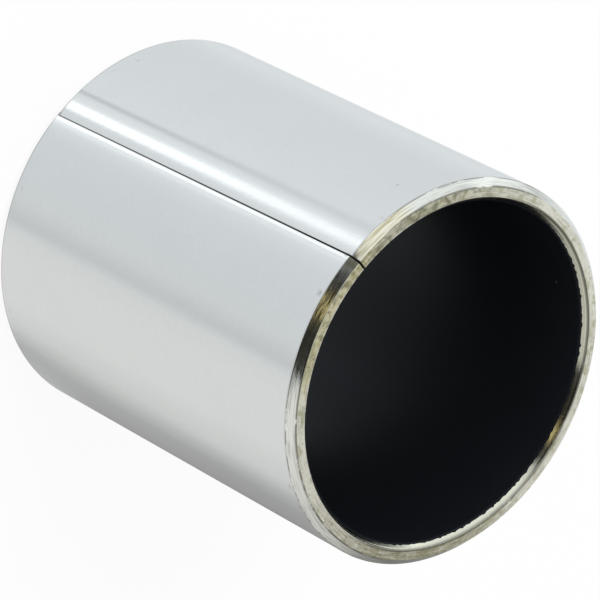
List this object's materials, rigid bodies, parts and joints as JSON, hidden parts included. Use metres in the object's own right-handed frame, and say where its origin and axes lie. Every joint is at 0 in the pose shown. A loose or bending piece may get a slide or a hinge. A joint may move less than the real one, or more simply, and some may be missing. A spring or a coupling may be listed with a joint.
{
  "type": "wrapped composite bushing",
  "caption": "Plain cylindrical sleeve bearing bent from a bonded steel, bronze and black-lined strip, with a butt joint along its side and chamfered ends.",
  "frame": {"origin": "middle of the lower end, where the bushing stands", "axes": "+Z along the bore's axis; -Y is the front, with the butt joint 16 degrees from it towards -X"},
  "size_m": [0.034, 0.034, 0.04],
  "materials": {
    "plated_steel": "bright tin plating, turned at the ends",
    "sintered_bronze": "sintered, seen only at the chamfers and the joint",
    "black_lining": "dry matt sliding layer"
  },
  "bodies": {
    "root": {"steel_backing": "plated_steel", "bronze_interlayer": "sintered_bronze", "sliding_lining": "black_lining"}
  },
  "joints": []
}
